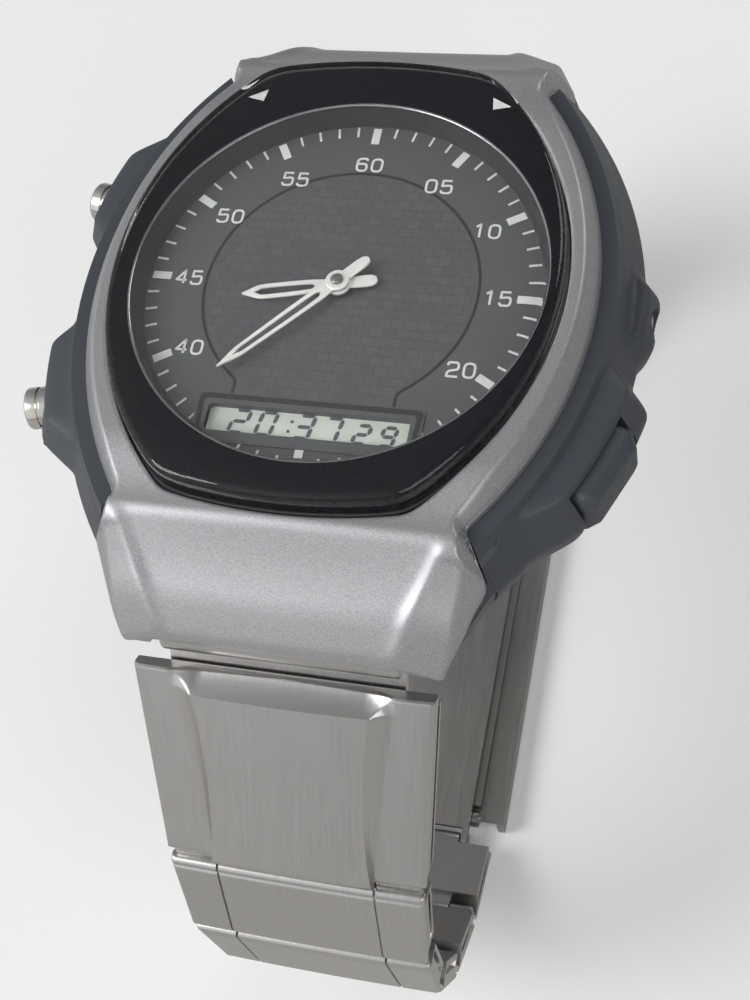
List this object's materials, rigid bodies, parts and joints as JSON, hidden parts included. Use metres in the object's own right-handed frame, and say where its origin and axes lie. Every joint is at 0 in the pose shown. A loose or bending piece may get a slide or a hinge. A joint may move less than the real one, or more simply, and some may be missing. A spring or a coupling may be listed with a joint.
{
  "type": "wristwatch",
  "caption": "Wristwatch with analogue hands and a small digital display, tonneau resin case under a silver cover, folded link bracelet with folding clasp.",
  "frame": {"origin": "centre of the case back's outer face, which rests on the wrist", "axes": "+Z out of the glass, +Y to twelve o'clock, +X to three o'clock"},
  "size_m": [0.042, 0.076, 0.0608],
  "materials": {
    "case_resin": "matte",
    "bezel_metal": "sandblasted",
    "crystal_glass": "clear",
    "gasket_rubber": "matte",
    "mask_print": "printed",
    "dial_print": "matte",
    "display_glass": "satin",
    "light_sheet": "matte",
    "connector_rubber": "matte",
    "steel": "brushed",
    "bracelet_steel": "satin brushed",
    "module_plastic": "moulded",
    "board": "lacquered",
    "copper": "lacquered wire",
    "brass": "plain",
    "hand_metal": "satin",
    "button_resin": "matte",
    "polished_steel": "polished"
  },
  "bodies": {
    "case": {"case_body": "case_resin", "bezel": "bezel_metal", "crystal": "crystal_glass", "crystal_gasket": "gasket_rubber", "mask_ring": "mask_print", "flange_ring": "dial_print", "dial_plate": "dial_print", "lcd_panel": "display_glass", "light_panel": "light_sheet", "lcd_connectors": "connector_rubber", "case_back": "steel", "case_back_screws": "steel", "back_gasket": "gasket_rubber", "module_frame": "module_plastic", "circuit_board": "board", "quartz_can": "steel", "battery_cell": "steel", "battery_clamp": "steel", "motor_coil": "copper", "motor_stator": "steel", "module_cover": "steel", "sound_disc": "brass", "spring_bar_6": "steel", "spring_bar_12": "steel", "pusher_seals": "gasket_rubber", "pusher_spring_upper_left": "steel", "pusher_spring_lower_left": "steel", "pusher_spring_right": "steel", "pusher_spring_light": "steel"},
    "minute": {"minute_wheel": "brass", "minute_hand": "hand_metal"},
    "hour": {"hour_wheel": "brass", "hour_hand": "hand_metal"},
    "motion": {"motion_wheel": "brass"},
    "reduction": {"reduction_wheel": "brass"},
    "rotor": {"motor_rotor": "brass"},
    "pusher_upper_left": {"pusher_upper_left": "polished_steel"},
    "pusher_lower_left": {"pusher_lower_left": "polished_steel"},
    "pusher_right": {"pusher_right": "polished_steel"},
    "light_button": {"light_button": "button_resin"},
    "strand_6_0": {"end_link_6": "bracelet_steel"},
    "strand_6_1": {"link_1_6": "bracelet_steel"},
    "strand_6_2": {"link_2_6": "bracelet_steel"},
    "strand_6_3": {"link_3_6": "bracelet_steel"},
    "strand_6_4": {"link_4_6": "bracelet_steel"},
    "strand_6_5": {"link_5_6": "bracelet_steel", "clasp_bar_6": "steel"},
    "strand_12_0": {"end_link_12": "bracelet_steel"},
    "strand_12_1": {"link_1_12": "bracelet_steel"},
    "strand_12_2": {"link_2_12": "bracelet_steel"},
    "strand_12_3": {"link_3_12": "bracelet_steel"},
    "strand_12_4": {"link_4_12": "bracelet_steel"},
    "strand_12_5": {"link_5_12": "bracelet_steel", "clasp_bar_12": "steel"},
    "clasp_inner_blade": {"clasp_inner_blade": "bracelet_steel"},
    "clasp_outer_blade": {"clasp_outer_blade": "bracelet_steel"},
    "clasp_cover": {"clasp_cover": "bracelet_steel"}
  },
  "joints": [
    {"name": "minute_spin", "type": "hinge", "parent": "case", "child": "minute", "pos_m": [0, 0, 0.005], "axis": [0, 0, 1], "continuous": true},
    {"name": "hour_spin", "type": "hinge", "parent": "case", "child": "hour", "pos_m": [0, 0, 0.005], "axis": [0, 0, 1], "continuous": true},
    {"name": "motion_spin", "type": "hinge", "parent": "case", "child": "motion", "pos_m": [-0.00249, 0.00144, 0.005], "axis": [0, 0, 1], "continuous": true},
    {"name": "reduction_spin", "type": "hinge", "parent": "case", "child": "reduction", "pos_m": [0.00147, 0.00255, 0.005], "axis": [0, 0, 1], "continuous": true},
    {"name": "rotor_spin", "type": "hinge", "parent": "case", "child": "rotor", "pos_m": [0.00406, 0.00349, 0.005], "axis": [0, 0, 1], "continuous": true},
    {"name": "pusher_upper_left_press", "type": "slide", "parent": "case", "child": "pusher_upper_left", "axis": [0.9781, -0.2079, 0], "range_m": [0, 0.0007], "stiffness_N_per_m": 600, "springref_m": -0.0004, "deforming": ["pusher_spring_upper_left"]},
    {"name": "pusher_lower_left_press", "type": "slide", "parent": "case", "child": "pusher_lower_left", "axis": [0.9781, 0.2079, 0], "range_m": [0, 0.0007], "stiffness_N_per_m": 600, "springref_m": -0.0004, "deforming": ["pusher_spring_lower_left"]},
    {"name": "pusher_right_press", "type": "slide", "parent": "case", "child": "pusher_right", "axis": [-1, 0, 0], "range_m": [0, 0.0007], "stiffness_N_per_m": 600, "springref_m": -0.0004, "deforming": ["pusher_spring_right"]},
    {"name": "light_button_press", "type": "slide", "parent": "case", "child": "light_button", "axis": [-0.9205, 0.3907, 0], "range_m": [0, 0.0007], "stiffness_N_per_m": 600, "springref_m": -0.0004, "deforming": ["pusher_spring_light"]},
    {"name": "lug_pivot_6", "type": "hinge", "parent": "case", "child": "strand_6_0", "pos_m": [0, -0.02285, 0.00175], "axis": [-1, 0, 0], "range_deg": [0, 45]},
    {"name": "link_1_pivot_6", "type": "hinge", "parent": "strand_6_0", "child": "strand_6_1", "pos_m": [0, -0.03312, -0.01291], "axis": [-1, 0, 0], "range_deg": [0, 18]},
    {"name": "link_2_pivot_6", "type": "hinge", "parent": "strand_6_1", "child": "strand_6_2", "pos_m": [0, -0.03626, -0.0207], "axis": [-1, 0, 0], "range_deg": [0, 24]},
    {"name": "link_3_pivot_6", "type": "hinge", "parent": "strand_6_2", "child": "strand_6_3", "pos_m": [0, -0.0367, -0.02909], "axis": [-1, 0, 0], "range_deg": [0, 25]},
    {"name": "link_4_pivot_6", "type": "hinge", "parent": "strand_6_3", "child": "strand_6_4", "pos_m": [0, -0.03425, -0.03712], "axis": [-1, 0, 0], "range_deg": [0, 26]},
    {"name": "link_5_pivot_6", "type": "hinge", "parent": "strand_6_4", "child": "strand_6_5", "pos_m": [0, -0.02908, -0.04374], "axis": [-1, 0, 0], "range_deg": [0, 26]},
    {"name": "lug_pivot_12", "type": "hinge", "parent": "case", "child": "strand_12_0", "pos_m": [0, 0.02285, 0.00175], "axis": [1, 0, 0], "range_deg": [0, 45]},
    {"name": "link_1_pivot_12", "type": "hinge", "parent": "strand_12_0", "child": "strand_12_1", "pos_m": [0, 0.03312, -0.01291], "axis": [1, 0, 0], "range_deg": [0, 18]},
    {"name": "link_2_pivot_12", "type": "hinge", "parent": "strand_12_1", "child": "strand_12_2", "pos_m": [0, 0.03626, -0.0207], "axis": [1, 0, 0], "range_deg": [0, 24]},
    {"name": "link_3_pivot_12", "type": "hinge", "parent": "strand_12_2", "child": "strand_12_3", "pos_m": [0, 0.0367, -0.02909], "axis": [1, 0, 0], "range_deg": [0, 25]},
    {"name": "link_4_pivot_12", "type": "hinge", "parent": "strand_12_3", "child": "strand_12_4", "pos_m": [0, 0.03425, -0.03712], "axis": [1, 0, 0], "range_deg": [0, 26]},
    {"name": "link_5_pivot_12", "type": "hinge", "parent": "strand_12_4", "child": "strand_12_5", "pos_m": [0, 0.02908, -0.04374], "axis": [1, 0, 0], "range_deg": [0, 26]},
    {"name": "inner_blade_pivot", "type": "hinge", "parent": "strand_6_5", "child": "clasp_inner_blade", "pos_m": [0, -0.02188, -0.04807], "axis": [-1, 0, 0], "range_deg": [0, 20]},
    {"name": "outer_blade_pivot", "type": "hinge", "parent": "clasp_inner_blade", "child": "clasp_outer_blade", "pos_m": [0, 0.01738, -0.04792], "axis": [1, 0, 0], "range_deg": [0, 75]},
    {"name": "clasp_cover_pivot", "type": "hinge", "parent": "clasp_outer_blade", "child": "clasp_cover", "pos_m": [0, -0.01948, -0.04882], "axis": [-1, 0, 0], "range_deg": [0, 150]}
  ],
  "couplings": [
    {"joint": "hour_spin", "follows": "minute_spin", "ratio": 0.083333},
    {"joint": "motion_spin", "follows": "minute_spin", "ratio": -0.33333},
    {"joint": "reduction_spin", "follows": "minute_spin", "ratio": -6},
    {"joint": "rotor_spin", "follows": "minute_spin", "ratio": 30},
    {"joint": "outer_blade_pivot", "follows": "clasp_cover_pivot", "ratio": 0.5}
  ]
}
